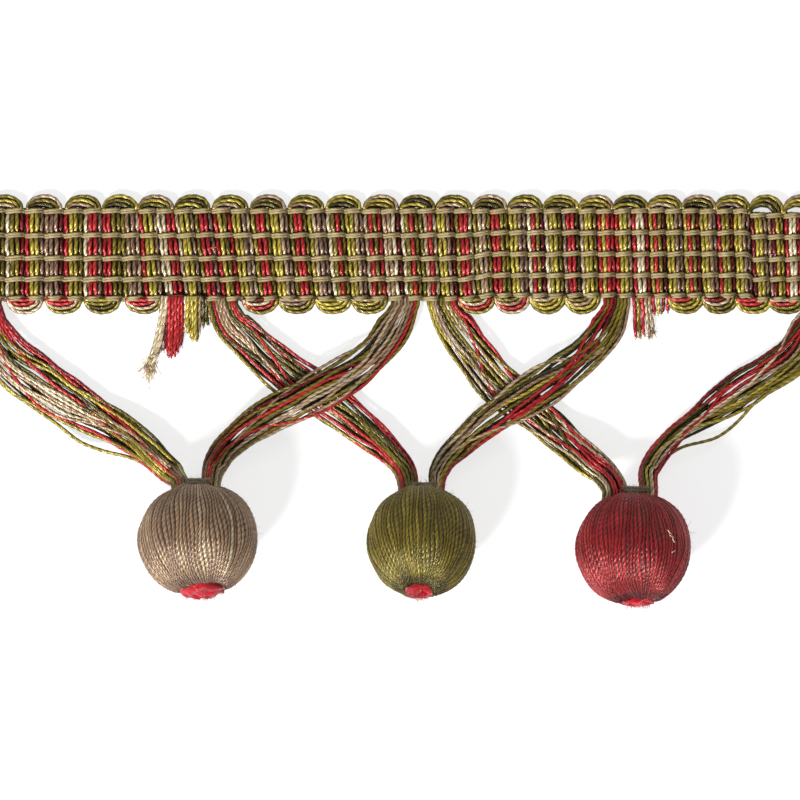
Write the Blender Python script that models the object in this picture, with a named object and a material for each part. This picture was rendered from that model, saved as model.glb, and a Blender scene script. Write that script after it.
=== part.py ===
"""Ball fringe trim: a woven heading, six crossing skeins of loose yarn and three wound balls.

It lies on its back, face up. +X runs along the heading, +Y from the balls to the heading, +Z up.
The origin is on the surface, under the middle of the bounding box. Sizes here are millimetres, and
each mesh is scaled to metres when it is made.
"""
import math
from collections import namedtuple

import bmesh
import bpy
import numpy as np
from mathutils import Matrix, Vector

METRES = 0.001
GAP = 0.3

# Heading: ribs of weft yarn across it, bound by five warps along it
HEADING_LENGTH = 162.8
RIB_COUNT = 48
RIB_TIGHTENING = 0.0066
EDGE_TOP = 36.9
TOP_LOOP = 1.7
EDGE_BOTTOM = 18.2
BOTTOM_LOOP = 2.2
WARPS = (35.4, 31.1, 26.9, 22.9, 19.1)
GROOVE_HEIGHT = 1.7
RIB_HEIGHT = 2.6
WARP_RISE = 0.45
LOOP_EDGE_HEIGHT = 1.3
SHOULDER = 0.28
# The ribs lean to the right on their way down: rib number, degrees
LEAN = ((0, 0), (7, 0), (11, 7), (14, 7), (22, 4), (35, 2), (44, 3), (48, 0))
LEAN_CENTRE = 27.2
# Each pair of ribs ends below in a loop L, a skein's root R or a cut tuft T
PAIRS = "RLLLLTRLLLLRRLLLLRTLLLLR"

# Skeins: strands side by side in layers
STRANDS_ACROSS = 7
LAYERS = 2
SKEIN_DEPTH = 2.0
DEPTH_TO_WIDTH = 0.42
STRAND_SHARE = 0.8
ROOT_STRIP = 1.2
ROOT_CLEARANCE = 0.2
ROOT_BEND = 4
STRAND_STATIONS = 10
# A section across a skein: its middle, width, clearance below, and how far its edges curl (degrees)
Section = namedtuple("Section", "x y width low bend")
# pair is the pair of ribs that the skein grows from; ball and side say which half of which neck it
# fills; loose is how far its outermost strand strays; the sections lie between root and neck
Skein = namedtuple("Skein", "pair ball side loose sections")
SKEINS = {
    "skein_a": Skein(0, "ball_1", -1, 2.2, (
        Section(-76.9, 14.1, 7.8, 0.0, 4),
        Section(-73.5, 8.4, 9.4, 0.0, 6),
        Section(-67.9, 3.8, 10.4, 0.0, 8),
        Section(-61.7, -0.4, 9.8, 0.0, 10),
        Section(-55.4, -3.75, 8.5, 0.2, 14),
        Section(-49.9, -7.1, 7.2, 1.2, 30),
        Section(-45.4, -11.1, 5.6, 2.8, 65),
        Section(-41.6, -13.4, 4.2, 4.2, 100),
    )),
    "skein_b": Skein(11, "ball_1", 1, 0.0, (
        Section(-0.75, 14.1, 7.5, 0.6, 8),
        Section(-5.2, 8.25, 7.8, 1.4, 12),
        Section(-11.6, 3.75, 8.4, 2.5, 14),
        Section(-18.75, -0.4, 9.0, 3.0, 16),
        Section(-25.7, -3.75, 8.4, 3.0, 20),
        Section(-30.2, -6.9, 7.2, 3.2, 40),
        Section(-33.3, -9.9, 5.6, 3.8, 75),
        Section(-35.2, -12.8, 4.2, 4.6, 105),
    )),
    "skein_c": Skein(6, "ball_2", -1, 0.0, (
        Section(-31.6, 14.4, 7.6, 0.0, 4),
        Section(-28.1, 11.2, 8.4, 0.0, 4),
        Section(-24.75, 7.9, 8.8, 0.0, 4),
        Section(-20.0, 4.1, 9.0, 0.0, 4),
        Section(-14.6, 0.4, 9.0, 0.0, 4),
        Section(-10.1, -2.8, 8.6, 0.0, 8),
        Section(-5.4, -6.75, 7.4, 0.4, 22),
        Section(-1.9, -9.9, 5.8, 1.3, 55),
        Section(0.6, -12.4, 4.4, 2.4, 95),
    )),
    "skein_d": Skein(17, "ball_2", 1, 0.0, (
        Section(38.8, 13.7, 7.5, 0.6, 8),
        Section(34.7, 8.6, 8.0, 1.6, 12),
        Section(30.0, 4.9, 8.6, 2.5, 14),
        Section(24.0, 0.9, 9.0, 3.0, 16),
        Section(19.5, -2.1, 8.5, 3.0, 20),
        Section(15.0, -5.25, 7.3, 3.0, 40),
        Section(11.2, -8.6, 5.8, 3.0, 75),
        Section(8.3, -11.8, 4.3, 3.2, 105),
    )),
    "skein_e": Skein(12, "ball_3", -1, 0.0, (
        Section(9.4, 14.8, 7.4, 0.0, 4),
        Section(11.8, 11.4, 8.2, 0.0, 4),
        Section(14.8, 7.5, 8.6, 0.0, 4),
        Section(18.4, 3.0, 8.6, 0.0, 4),
        Section(23.3, -0.9, 8.6, 0.0, 4),
        Section(27.9, -4.5, 8.2, 0.3, 8),
        Section(32.8, -8.8, 7.4, 1.8, 24),
        Section(35.9, -11.6, 6.2, 3.2, 50),
        Section(38.8, -13.7, 4.6, 4.4, 95),
    )),
    "skein_f": Skein(23, "ball_3", 1, -2.0, (
        Section(76.7, 13.5, 8.0, 0.0, 4),
        Section(72.9, 7.9, 8.4, 0.0, 6),
        Section(68.4, 4.7, 8.0, 0.0, 8),
        Section(63.75, 1.7, 7.8, 0.0, 10),
        Section(58.5, -1.9, 7.0, 0.2, 14),
        Section(54.6, -4.5, 6.0, 0.9, 30),
        Section(50.8, -7.5, 5.0, 2.2, 65),
        Section(48.0, -11.0, 4.2, 3.8, 100),
    )),
}

# Balls: the middle, the radius round the equator, half the length along the axis, the axis's tilt
# into the surface and its turn to the right (degrees), and the radius of the plug below
Ball = namedtuple("Ball", "x y equator half tilt turn plug")
BALLS = {
    "ball_1": Ball(-37.6, -26.0, 11.2, 10.6, 20, 0, 4.2),
    "ball_2": Ball(4.1, -26.4, 10.2, 10.6, 27, 2, 2.6),
    "ball_3": Ball(43.6, -27.65, 10.8, 10.7, 18, 3, 2.9),
}
BALL_SIDES = 28
BALL_BANDS = 9
FLAT_SPOT = 0.15
MOUTH_RADIUS = 3.7
MOUTH_DEPTH = 2.1
PLUG_DEPTH = 2.4
PLUG_BULGE = 0.6
PLUG_SIDES = 16
PLUG_CROWN = 0.75

# Neck: two skeins side by side in an oval binding above the mouth
NECK_WIDTH = 3.1
NECK_BEND = 130
NECK_SPACING = 1.75
NECK_START = 1.4
NECK_END = -1.7
TIE_START = 1.3
TIE_END = -0.25
TIE_WALL = 0.5
TIE_ARC_STEPS = 10

# Cut tufts: the pair of ribs that each grows from, and each strand's shift to the right and length
Tuft = namedtuple("Tuft", "pair strands")
TUFTS = {
    "tuft_left": Tuft(5, (
        (-2.4, 12.4), (-1.8, 11.0), (-0.7, 10.0), (0.0, 9.8),
        (0.3, 8.4), (0.4, 4.6), (0.6, 7.6), (0.9, 3.6),
    )),
    "tuft_right": Tuft(18, (
        (0.2, 6.3), (0.2, 6.7), (0.3, 6.2), (0.4, 6.8),
        (0.2, 2.2), (0.2, 2.5), (0.1, 1.9), (0.2, 1.6),
    )),
}
TUFT_DEPTH = 1.6
TUFT_STEPS = 3
TUFT_TAPER = 0.25

# Colours of the yarns
OLIVE = (0.36, 0.31, 0.09)
BEIGE = (0.56, 0.44, 0.32)
RED = (0.48, 0.08, 0.09)
KHAKI = (0.52, 0.46, 0.29)
CRIMSON = (0.62, 0.02, 0.06)
NODE_COLOURS = {
    "heading": KHAKI,
    "skein_a": RED,
    "skein_b": BEIGE,
    "skein_c": OLIVE,
    "skein_d": RED,
    "skein_e": OLIVE,
    "skein_f": OLIVE,
    "ball_1": BEIGE,
    "ball_2": OLIVE,
    "ball_3": RED,
    "plug_1": CRIMSON,
    "plug_2": CRIMSON,
    "plug_3": CRIMSON,
    "neck_1": BEIGE,
    "neck_2": OLIVE,
    "neck_3": BEIGE,
    "tuft_left": RED,
    "tuft_right": RED,
}
YARN_ROUGHNESS = 0.6


def clear_scene():
    for existing in list(bpy.data.objects):
        bpy.data.objects.remove(existing, do_unlink=True)


def yarn_material(name, colour):
    material = bpy.data.materials.new(name + "_yarn")
    material.use_nodes = True
    shader = material.node_tree.nodes["Principled BSDF"]
    shader.inputs["Base Color"].default_value = (*colour, 1.0)
    shader.inputs["Roughness"].default_value = YARN_ROUGHNESS
    shader.inputs["Metallic"].default_value = 0.0
    return material


def add_node(name, shape):
    """Turns a finished bmesh in millimetres into a named object in metres."""
    bmesh.ops.recalc_face_normals(shape, faces=shape.faces)
    bmesh.ops.scale(shape, vec=(METRES, METRES, METRES), verts=shape.verts)
    mesh = bpy.data.meshes.new(name)
    shape.to_mesh(mesh)
    shape.free()
    mesh.materials.append(yarn_material(name, NODE_COLOURS[name]))
    node = bpy.data.objects.new(name, mesh)
    bpy.context.collection.objects.link(node)
    return node


def quads_between(shape, first, second):
    """A closed band of faces between two rings of the same number of points."""
    for a in range(len(first)):
        b = (a + 1) % len(first)
        shape.faces.new((first[a], first[b], second[b], second[a]))


# Heading

def rib_x(along):
    """Where the ribs stand: along counts ribs from the heading's left end."""
    pitch = HEADING_LENGTH / RIB_COUNT + RIB_TIGHTENING * RIB_COUNT
    return -HEADING_LENGTH / 2 + pitch * along - RIB_TIGHTENING * along**2


def lean_shift(along, y):
    ribs, degrees = zip(*LEAN)
    return math.tan(math.radians(np.interp(along, ribs, degrees))) * (LEAN_CENTRE - y)


def arch(share):
    """A half circle over the span from 0 to 1."""
    return math.sqrt(max(0.0, 1.0 - (2.0 * share - 1.0) ** 2))


def bottom_edge(along):
    pair = min(int(along // 2), len(PAIRS) - 1)
    loop = arch(along / 2 - pair) if PAIRS[pair] == "L" else 0.0
    return EDGE_BOTTOM - BOTTOM_LOOP * loop


def top_edge(along):
    """Top loops join the ribs of neighbouring pairs, so they are set one rib over."""
    if along < 1 or along > RIB_COUNT - 1:
        return EDGE_TOP
    return EDGE_TOP + TOP_LOOP * arch((along - 1) / 2 % 1)


def heading_rows(along, on_rib):
    """The points down one column of the face: y and height, from the top edge to the bottom one."""
    height = RIB_HEIGHT if on_rib else GROOVE_HEIGHT
    rows = [(top_edge(along), LOOP_EDGE_HEIGHT)]
    for number, warp in enumerate(WARPS):
        if number:
            rows.append(((warp + WARPS[number - 1]) / 2, height))
        rows.append((warp, height + WARP_RISE))
    rows.append((bottom_edge(along), LOOP_EDGE_HEIGHT))
    return rows


def build_heading():
    columns = [(0.0, False)]
    for rib in range(RIB_COUNT):
        columns += [(rib + 0.5 - SHOULDER, True), (rib + 0.5 + SHOULDER, True), (rib + 1.0, False)]
    shape = bmesh.new()
    face = []
    for along, on_rib in columns:
        rows = heading_rows(along, on_rib)
        face.append([shape.verts.new((rib_x(along) + lean_shift(along, y), y, z)) for y, z in rows])
    last_row = len(face[0]) - 1
    for left, right in zip(face, face[1:]):
        for row in range(last_row):
            shape.faces.new((left[row], left[row + 1], right[row + 1], right[row]))
    rim = [column[0] for column in face]
    rim += face[-1][1:last_row]
    rim += [column[last_row] for column in reversed(face)]
    rim += face[0][last_row - 1:0:-1]
    base = [shape.verts.new((point.co.x, point.co.y, 0.0)) for point in rim]
    quads_between(shape, rim, base)
    shape.faces.new(base)
    return add_node("heading", shape)


# Balls

def ball_tilt(ball):
    return math.radians(ball.tilt)


def ball_centre(ball):
    tilt = ball_tilt(ball)
    reach = math.hypot(ball.half * math.sin(tilt), ball.equator * math.cos(tilt))
    return Vector((ball.x, ball.y, reach - FLAT_SPOT))


def ball_placing(ball):
    """From the ball's own frame, with its mouth at +Z and its width along X, to its place."""
    mouth = Matrix.Rotation(-math.pi / 2 - ball_tilt(ball), 4, "X")
    turn = Matrix.Rotation(-math.radians(ball.turn), 4, "Z")
    return Matrix.Translation(ball_centre(ball)) @ turn @ mouth


def surface_height(ball, radius):
    """How far along the axis the ball's surface lies, at this distance from the axis."""
    return ball.half * math.sqrt(1.0 - (radius / ball.equator) ** 2)


def turned(profile, sides):
    """A closed solid turned round Z: profile is radius and height, first and last on the axis."""
    shape = bmesh.new()
    top = shape.verts.new((0.0, 0.0, profile[0][1]))
    bottom = shape.verts.new((0.0, 0.0, profile[-1][1]))
    rings = []
    for radius, height in profile[1:-1]:
        angles = [2 * math.pi * side / sides for side in range(sides)]
        rings.append([
            shape.verts.new((radius * math.cos(a), radius * math.sin(a), height)) for a in angles
        ])
    for first, second in zip(rings, rings[1:]):
        quads_between(shape, first, second)
    for pole, ring in ((top, rings[0]), (bottom, rings[-1])):
        for side in range(sides):
            shape.faces.new((pole, ring[side], ring[(side + 1) % sides]))
    return shape


def ball_profile(ball):
    """Mouth, wound surface and lower hole, from the mouth's floor to the hole's floor."""
    hole_radius = ball.plug + GAP
    rim_angle = math.asin(MOUTH_RADIUS / ball.equator)
    hole_angle = math.pi - math.asin(hole_radius / ball.equator)
    mouth_floor = surface_height(ball, MOUTH_RADIUS) - MOUTH_DEPTH
    hole_floor = PLUG_DEPTH + GAP - surface_height(ball, hole_radius)
    profile = [(0.0, mouth_floor), (MOUTH_RADIUS, mouth_floor)]
    for band in range(BALL_BANDS + 1):
        angle = rim_angle + (hole_angle - rim_angle) * band / BALL_BANDS
        profile.append((ball.equator * math.sin(angle), ball.half * math.cos(angle)))
    profile += [(hole_radius, hole_floor), (0.0, hole_floor)]
    return profile


def build_ball(name, ball):
    shape = turned(ball_profile(ball), BALL_SIDES)
    bmesh.ops.transform(shape, matrix=ball_placing(ball), verts=shape.verts)
    everything = shape.verts[:] + shape.edges[:] + shape.faces[:]
    cut = bmesh.ops.bisect_plane(
        shape, geom=everything, dist=1e-5, plane_co=(0, 0, 0), plane_no=(0, 0, -1), clear_outer=True
    )
    flat_rim = [item for item in cut["geom_cut"] if isinstance(item, bmesh.types.BMEdge)]
    bmesh.ops.edgenet_fill(shape, edges=flat_rim)
    return add_node(name, shape)


def build_plug(name, ball):
    """A wad of yarn ends that fills the lower hole and bulges out of it."""
    rim = -surface_height(ball, ball.plug + GAP)
    profile = [
        (0.0, rim + PLUG_DEPTH),
        (ball.plug, rim + PLUG_DEPTH),
        (ball.plug, rim),
        (PLUG_CROWN * ball.plug, rim - PLUG_CROWN * PLUG_BULGE),
        (0.0, rim - PLUG_BULGE),
    ]
    shape = turned(profile, PLUG_SIDES)
    bmesh.ops.transform(shape, matrix=ball_placing(ball), verts=shape.verts)
    return add_node(name, shape)


# Neck

def stadium(radius):
    """An oval round the two skeins: two half circles joined by straight sides."""
    points = []
    for centre, start in ((NECK_SPACING, -math.pi / 2), (-NECK_SPACING, math.pi / 2)):
        for step in range(TIE_ARC_STEPS + 1):
            angle = start + math.pi * step / TIE_ARC_STEPS
            points.append((centre + radius * math.cos(angle), radius * math.sin(angle)))
    return points


def build_neck(name, ball):
    inner = NECK_WIDTH / 2 + GAP
    outer = inner + TIE_WALL
    shape = bmesh.new()
    rings = []
    for radius, height in ((outer, TIE_START), (outer, TIE_END), (inner, TIE_END), (inner, TIE_START)):
        rings.append([shape.verts.new((x, y, ball.half + height)) for x, y in stadium(radius)])
    for first, second in zip(rings, rings[1:] + rings[:1]):
        quads_between(shape, first, second)
    bmesh.ops.transform(shape, matrix=ball_placing(ball), verts=shape.verts)
    return add_node(name, shape)


# Skeins

def root_place(pair):
    """The middle and the width of what grows from a pair of ribs, just clear of its neighbours."""
    middle = rib_x(2 * pair + 1) + lean_shift(2 * pair + 1, EDGE_BOTTOM)
    return middle, rib_x(2 * pair + 2) - rib_x(2 * pair) - 2 * GAP


def root_section(pair):
    middle, width = root_place(pair)
    return Section(middle, EDGE_BOTTOM - GAP, width, ROOT_CLEARANCE, ROOT_BEND)


def neck_section(ball, side, above):
    """The section of a skein where it is bound: above counts along the axis from the ball's end."""
    below = -math.cos(math.radians(NECK_BEND)) * NECK_WIDTH / 2
    lowest = ball_placing(ball) @ Vector((side * NECK_SPACING, below, ball.half + above))
    return Section(lowest.x, lowest.y, NECK_WIDTH, lowest.z, NECK_BEND)


def skein_stations(along):
    """Where a skein is cut across: root strip, strands, and the fused end from the last row but one."""
    strands = np.linspace(ROOT_STRIP, along[-2], STRAND_STATIONS)
    return np.concatenate(([0.0], strands, [along[-1]]))


def smooth_sections(sections):
    """A skein's sections, read from the smooth curve through the given ones."""
    table = np.array(sections, float)
    steps = np.linalg.norm(np.diff(table[:, :2], axis=0), axis=1)
    along = np.concatenate(([0.0], np.cumsum(steps)))
    slope = np.gradient(table, along, axis=0)
    distance = skein_stations(along)
    span = np.clip(np.searchsorted(along, distance, side="right") - 1, 0, len(steps) - 1)
    length = steps[span][:, None]
    t = (distance - along[span])[:, None] / length
    start, end = table[span], table[span + 1]
    rise = length * (slope[span] * t * (1 - t) ** 2 - slope[span + 1] * t**2 * (1 - t))
    blend = t**2 * (3 - 2 * t)
    smooth = start * (1 - blend) + end * blend + rise
    smooth[:, 3] = np.maximum(smooth[:, 3], 0.0)
    return smooth


def skein_frames(rows, neck_direction):
    """For each section: the direction to the walker's right and the one up out of the skein."""
    heading_for = np.gradient(rows[:, [0, 1, 3]], axis=0)
    heading_for[0] = (0.0, -1.0, 0.0)
    heading_for[1] = (0.0, -1.0, 0.0)
    heading_for[-2:] = neck_direction
    frames = []
    for x, y, z in heading_for:
        forward = Vector((x, y, z)).normalized()
        right = forward.cross(Vector((0, 0, 1))).normalized()
        frames.append((right, right.cross(forward)))
    return frames


def grid_lines(count):
    """Lines from -1 to 1 that bound each strand, with a little room on both sides of it."""
    lines = [-1.0]
    pitch = 2.0 / count
    for number in range(count):
        middle = -1.0 + pitch * (number + 0.5)
        lines += [middle - pitch * STRAND_SHARE / 2, middle + pitch * STRAND_SHARE / 2]
    return lines + [1.0]


def section_points(row, frame, loose):
    """The grid of one section, curled round its middle: points[across][layer]."""
    x, y, width, low, bend = row
    right, up = frame
    half_angle = math.radians(bend)
    depth = min(SKEIN_DEPTH, DEPTH_TO_WIDTH * width)
    radius = width / 2 / math.sin(min(half_angle, math.pi / 2)) - depth / 2
    flat = []
    for across in grid_lines(STRANDS_ACROSS):
        for layer in grid_lines(LAYERS):
            reach = radius + layer * depth / 2
            flat.append((reach * math.sin(across * half_angle), reach * math.cos(across * half_angle)))
    lowest = min(height for _, height in flat)
    grid = [
        Vector((x, y, low)) + right * offset + up * (height - lowest) for offset, height in flat
    ]
    lines = len(grid_lines(LAYERS))
    points = [grid[start:start + lines] for start in range(0, len(grid), lines)]
    strand = points[-3:-1] if loose > 0 else points[1:3]
    for column in strand:
        for layer in (1, 2):
            column[layer] = column[layer] + right * loose
    return points


def is_strand(column, layer):
    return column % 2 == 1 and layer % 2 == 1


def perimeter(grid):
    """The points round the edge of a grid, in order."""
    last_column = len(grid) - 1
    last_layer = len(grid[0]) - 1
    ring = [grid[column][0] for column in range(last_column)]
    ring += [grid[last_column][layer] for layer in range(last_layer)]
    ring += [grid[column][last_layer] for column in range(last_column, 0, -1)]
    ring += [grid[0][layer] for layer in range(last_layer, 0, -1)]
    return ring


def strand_ring(grid, column, layer):
    return [
        grid[column][layer],
        grid[column + 1][layer],
        grid[column + 1][layer + 1],
        grid[column][layer + 1],
    ]


def fused_end(shape, inner, outer_points):
    """A block that the strands grow out of: inner is its grid of vertices on their side."""
    outer = [shape.verts.new(point) for point in perimeter(outer_points)]
    quads_between(shape, perimeter(inner), outer)
    shape.faces.new(outer)
    for column in range(len(inner) - 1):
        for layer in range(len(inner[0]) - 1):
            if not is_strand(column, layer):
                shape.faces.new(strand_ring(inner, column, layer))


def build_skein(name, skein):
    ball = BALLS[skein.ball]
    bound = [neck_section(ball, skein.side, above) for above in (NECK_START, NECK_END)]
    sections = (root_section(skein.pair), *skein.sections, *bound)
    rows = smooth_sections(sections)
    neck_direction = ball_placing(ball).to_3x3() @ Vector((0, 0, -1))
    frames = skein_frames(rows, neck_direction)
    stray = [0.0] + [
        skein.loose * math.sin(math.pi * station / (STRAND_STATIONS - 1)) ** 2
        for station in range(STRAND_STATIONS)
    ] + [0.0]
    points = [section_points(*section) for section in zip(rows, frames, stray)]
    shape = bmesh.new()
    first = [[shape.verts.new(point) for point in column] for column in points[1]]
    last = [[shape.verts.new(point) for point in column] for column in points[-2]]
    fused_end(shape, first, points[0])
    fused_end(shape, last, points[-1])
    for column in range(1, len(first) - 1, 2):
        for layer in range(1, len(first[0]) - 1, 2):
            ring = strand_ring(first, column, layer)
            for section in points[2:-2]:
                following = [shape.verts.new(point) for point in strand_ring(section, column, layer)]
                quads_between(shape, ring, following)
                ring = following
            quads_between(shape, ring, strand_ring(last, column, layer))
    return add_node(name, shape)


# Tufts

def build_tuft(name, tuft):
    top = EDGE_BOTTOM - GAP
    root, width = root_place(tuft.pair)
    across = [root + line * width / 2 for line in grid_lines(len(tuft.strands))]
    upward = [(line + 1) * TUFT_DEPTH / 2 for line in grid_lines(1)]
    shape = bmesh.new()
    inner = [[shape.verts.new((x, top - ROOT_STRIP, z)) for z in upward] for x in across]
    fused_end(shape, inner, [[Vector((x, top, z)) for z in upward] for x in across])
    for number, (shift, length) in enumerate(tuft.strands):
        ring = strand_ring(inner, 2 * number + 1, 1)
        start = [point.co.copy() for point in ring]
        middle = sum(start, Vector()) / len(start)
        for step in range(1, TUFT_STEPS + 1):
            share = step / TUFT_STEPS
            size = 1.0 - TUFT_TAPER * share
            move = Vector((shift * share**2, -length * share, -middle.z * (1 - size)))
            following = [
                shape.verts.new(middle + (point - middle) * size + move) for point in start
            ]
            quads_between(shape, ring, following)
            ring = following
        shape.faces.new(ring)
    return add_node(name, shape)


def build_trim():
    clear_scene()
    build_heading()
    for name, skein in SKEINS.items():
        build_skein(name, skein)
    for name, ball in BALLS.items():
        number = name[-1]
        build_ball(name, ball)
        build_plug("plug_" + number, ball)
        build_neck("neck_" + number, ball)
    for name, tuft in TUFTS.items():
        build_tuft(name, tuft)


build_trim()
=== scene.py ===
"""Ball fringe trim: the yarn heading, the crossing skeins and the wound balls, yarn by yarn.

It lies on its back on a pale surface and the camera looks straight down. Sizes are millimetres, and
each mesh is scaled to metres when it is made. +X runs along the heading, +Y from the balls to it.
"""
import math
from collections import namedtuple

import bpy
import numpy as np
from mathutils import Matrix, Vector


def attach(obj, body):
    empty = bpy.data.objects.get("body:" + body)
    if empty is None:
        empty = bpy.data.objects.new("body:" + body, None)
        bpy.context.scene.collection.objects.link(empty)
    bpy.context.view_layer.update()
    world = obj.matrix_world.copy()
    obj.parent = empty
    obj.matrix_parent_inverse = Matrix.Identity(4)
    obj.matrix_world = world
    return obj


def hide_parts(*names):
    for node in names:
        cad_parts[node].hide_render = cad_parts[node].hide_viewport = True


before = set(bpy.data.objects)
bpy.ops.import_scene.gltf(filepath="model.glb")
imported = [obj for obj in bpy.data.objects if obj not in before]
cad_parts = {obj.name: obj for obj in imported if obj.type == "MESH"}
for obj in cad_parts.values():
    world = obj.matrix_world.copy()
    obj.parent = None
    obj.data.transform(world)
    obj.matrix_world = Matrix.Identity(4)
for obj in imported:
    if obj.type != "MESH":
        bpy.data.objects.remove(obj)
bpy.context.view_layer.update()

METRES = 0.001
# The picture is 800 points wide and shows 150 mm; its middle is the origin
PICTURE = 800
PICTURE_WIDTH = 150.0
POINT = PICTURE_WIDTH / PICTURE

# Heading
HEADING_LENGTH = 162.8
RIB_COUNT = 48
RIB_TIGHTENING = 0.0066
EDGE_TOP = 36.9
TOP_LOOP = 1.7
EDGE_BOTTOM = 18.2
BOTTOM_LOOP = 2.2
RIB_SPACE = 0.0
RIB_DROP = 0.8
LEAN = ((0, 0), (7, 0), (11, 7), (14, 7), (22, 4), (35, 2), (44, 3), (48, 0))
LEAN_CENTRE = 27.2
WARP_THREAD = 0.29
PAIRS = "RLLLLTRLLLLRRLLLLRTLLLLR"
# Where the five warps run: for each, its y at the left, in the middle and at the right of the heading
WARP_X = (12.0, 16.5, 64.6, 66.2)
WARPS = (
    (35.45, 35.45, 34.6),
    (30.9, 31.4, 30.6),
    (26.6, 27.4, 26.4),
    (22.7, 23.4, 22.7),
    (19.05, 19.6, 18.9),
)
# The yarns that show on each rib, from left to right: red m r, olive k o g, beige u b c, dark to light; the dark u and
# k are partly painted shade, u being beige on the shaded right sides of the ribs and k standing in for dark gaps
# between strands
RIBS = (
    "oorb rbbo coom rggu buum rggo crru rroo ouub rggu ccrr bggu orru rgor ggub orro ggbu orro gbuu "
    "coro ggbu bror bbcm coro obrb ggum orrb obbo rroo gguu crom cggo urrk bggo rgrr rggb rccr grom "
    "gguu grom gguu room gguu mggb umgg rccr rgob orbr"
).split()
# The yarns of each bottom loop, from its outer edge inwards, in the order of the loops
BOTTOM_LOOPS = "bcrr obrr okog obrr orbm ooub oggo oogb orbo brbo oggb ogbo ogor oobm gorr oorb".split()
TOP_LOOPS = "ogb bok ogu gok bgo okg".split()

# Skeins
SKEIN_DEPTH = 2.0
DEPTH_TO_WIDTH = 0.42
ROOT_CLEARANCE = 0.2
ROOT_BEND = 4
GAP = 0.3
Section = namedtuple("Section", "x y width low bend")
# orders: the strands that lie on top, from the walker's left to right, at the root, midway, at the neck
Skein = namedtuple("Skein", "pair ball mouth loose orders sections")
SKEINS = {
    "skein_a": Skein(0, "ball_1", (-3.5, 3.9), 2.2, ("mrrrokrkbbbbbg", "mrogkrkbcbbcbro", "kogkuurgogor"), (
        Section(-76.9, 14.1, 7.8, 0.0, 4),
        Section(-73.5, 8.4, 9.4, 0.0, 6),
        Section(-67.9, 3.8, 10.4, 0.0, 8),
        Section(-61.7, -0.4, 9.8, 0.0, 10),
        Section(-55.4, -3.75, 8.5, 0.2, 14),
        Section(-49.9, -7.1, 7.2, 1.2, 30),
        Section(-45.0, -11.5, 5.8, 2.8, 60),
        Section(-41.9, -14.6, 4.9, 4.0, 95),
    )),
    "skein_b": Skein(11, "ball_1", (2.3, 4.0), 0.0, ("orubbubbo", "rbobbboromob", "bobborromo"), (
        Section(-0.75, 14.1, 7.5, 0.6, 8),
        Section(-5.2, 8.25, 7.8, 1.4, 12),
        Section(-11.6, 3.75, 8.4, 2.5, 14),
        Section(-18.75, -0.4, 9.0, 3.0, 16),
        Section(-25.7, -3.75, 8.4, 3.0, 20),
        Section(-30.2, -6.9, 7.2, 3.2, 40),
        Section(-33.3, -9.9, 5.8, 3.8, 75),
        Section(-34.9, -13.2, 4.8, 4.6, 100),
    )),
    "skein_c": Skein(6, "ball_2", (-2.8, 4.2), 0.0, ("krrokbbbbrko", "rrkookrbrro", "rrkooorror"), (
        Section(-31.6, 14.4, 7.6, 0.0, 4),
        Section(-28.1, 11.2, 8.4, 0.0, 4),
        Section(-24.75, 7.9, 8.8, 0.0, 4),
        Section(-20.0, 4.1, 9.0, 0.0, 4),
        Section(-14.6, 0.4, 9.0, 0.0, 4),
        Section(-10.1, -2.8, 8.6, 0.0, 8),
        Section(-5.4, -6.75, 7.4, 0.4, 22),
        Section(-2.1, -9.7, 6.1, 1.3, 50),
        Section(0.9, -13.3, 4.8, 2.6, 90),
    )),
    "skein_d": Skein(17, "ball_2", (2.5, 3.2), 0.0, ("booomror", "borrrkgukob", "rrogcbbok"), (
        Section(38.8, 13.7, 7.5, 0.6, 8),
        Section(34.7, 8.6, 8.0, 1.6, 12),
        Section(30.0, 4.9, 8.6, 2.5, 14),
        Section(24.0, 0.9, 9.0, 3.0, 16),
        Section(19.5, -2.1, 8.5, 3.0, 20),
        Section(15.0, -5.25, 7.3, 3.0, 40),
        Section(11.2, -8.6, 5.8, 3.0, 75),
        Section(8.2, -11.8, 4.5, 3.2, 100),
        Section(7.2, -13.9, 4.0, 3.4, 110),
    )),
    "skein_e": Skein(12, "ball_3", (-4.0, 5.2), 0.0, ("rrobookbbgg", "orobokbbrbo", "bbrrrrbckg"), (
        Section(9.4, 14.8, 7.4, 0.0, 4),
        Section(11.8, 11.4, 8.2, 0.0, 4),
        Section(14.8, 7.5, 8.6, 0.0, 4),
        Section(18.4, 3.0, 8.6, 0.0, 4),
        Section(23.3, -0.9, 8.6, 0.0, 4),
        Section(27.9, -4.5, 8.2, 0.3, 8),
        Section(32.8, -8.8, 7.4, 1.8, 24),
        Section(35.5, -11.4, 6.9, 3.0, 45),
        Section(38.7, -14.2, 5.6, 4.4, 85),
    )),
    "skein_f": Skein(23, "ball_3", (2.3, 3.8), -2.0, ("oogoobrrkmb", "ooogobcrrrkm", "rrcbgkrr"), (
        Section(76.7, 13.5, 8.0, 0.0, 4),
        Section(72.9, 7.9, 8.4, 0.0, 6),
        Section(68.4, 4.7, 8.0, 0.0, 8),
        Section(63.75, 1.7, 7.8, 0.0, 10),
        Section(58.5, -1.9, 7.0, 0.2, 14),
        Section(54.6, -4.5, 6.0, 0.9, 30),
        Section(50.8, -7.5, 5.0, 2.2, 65),
        Section(47.8, -11.0, 4.5, 3.8, 95),
        Section(46.5, -13.6, 4.1, 4.4, 110),
    )),
}

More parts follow.
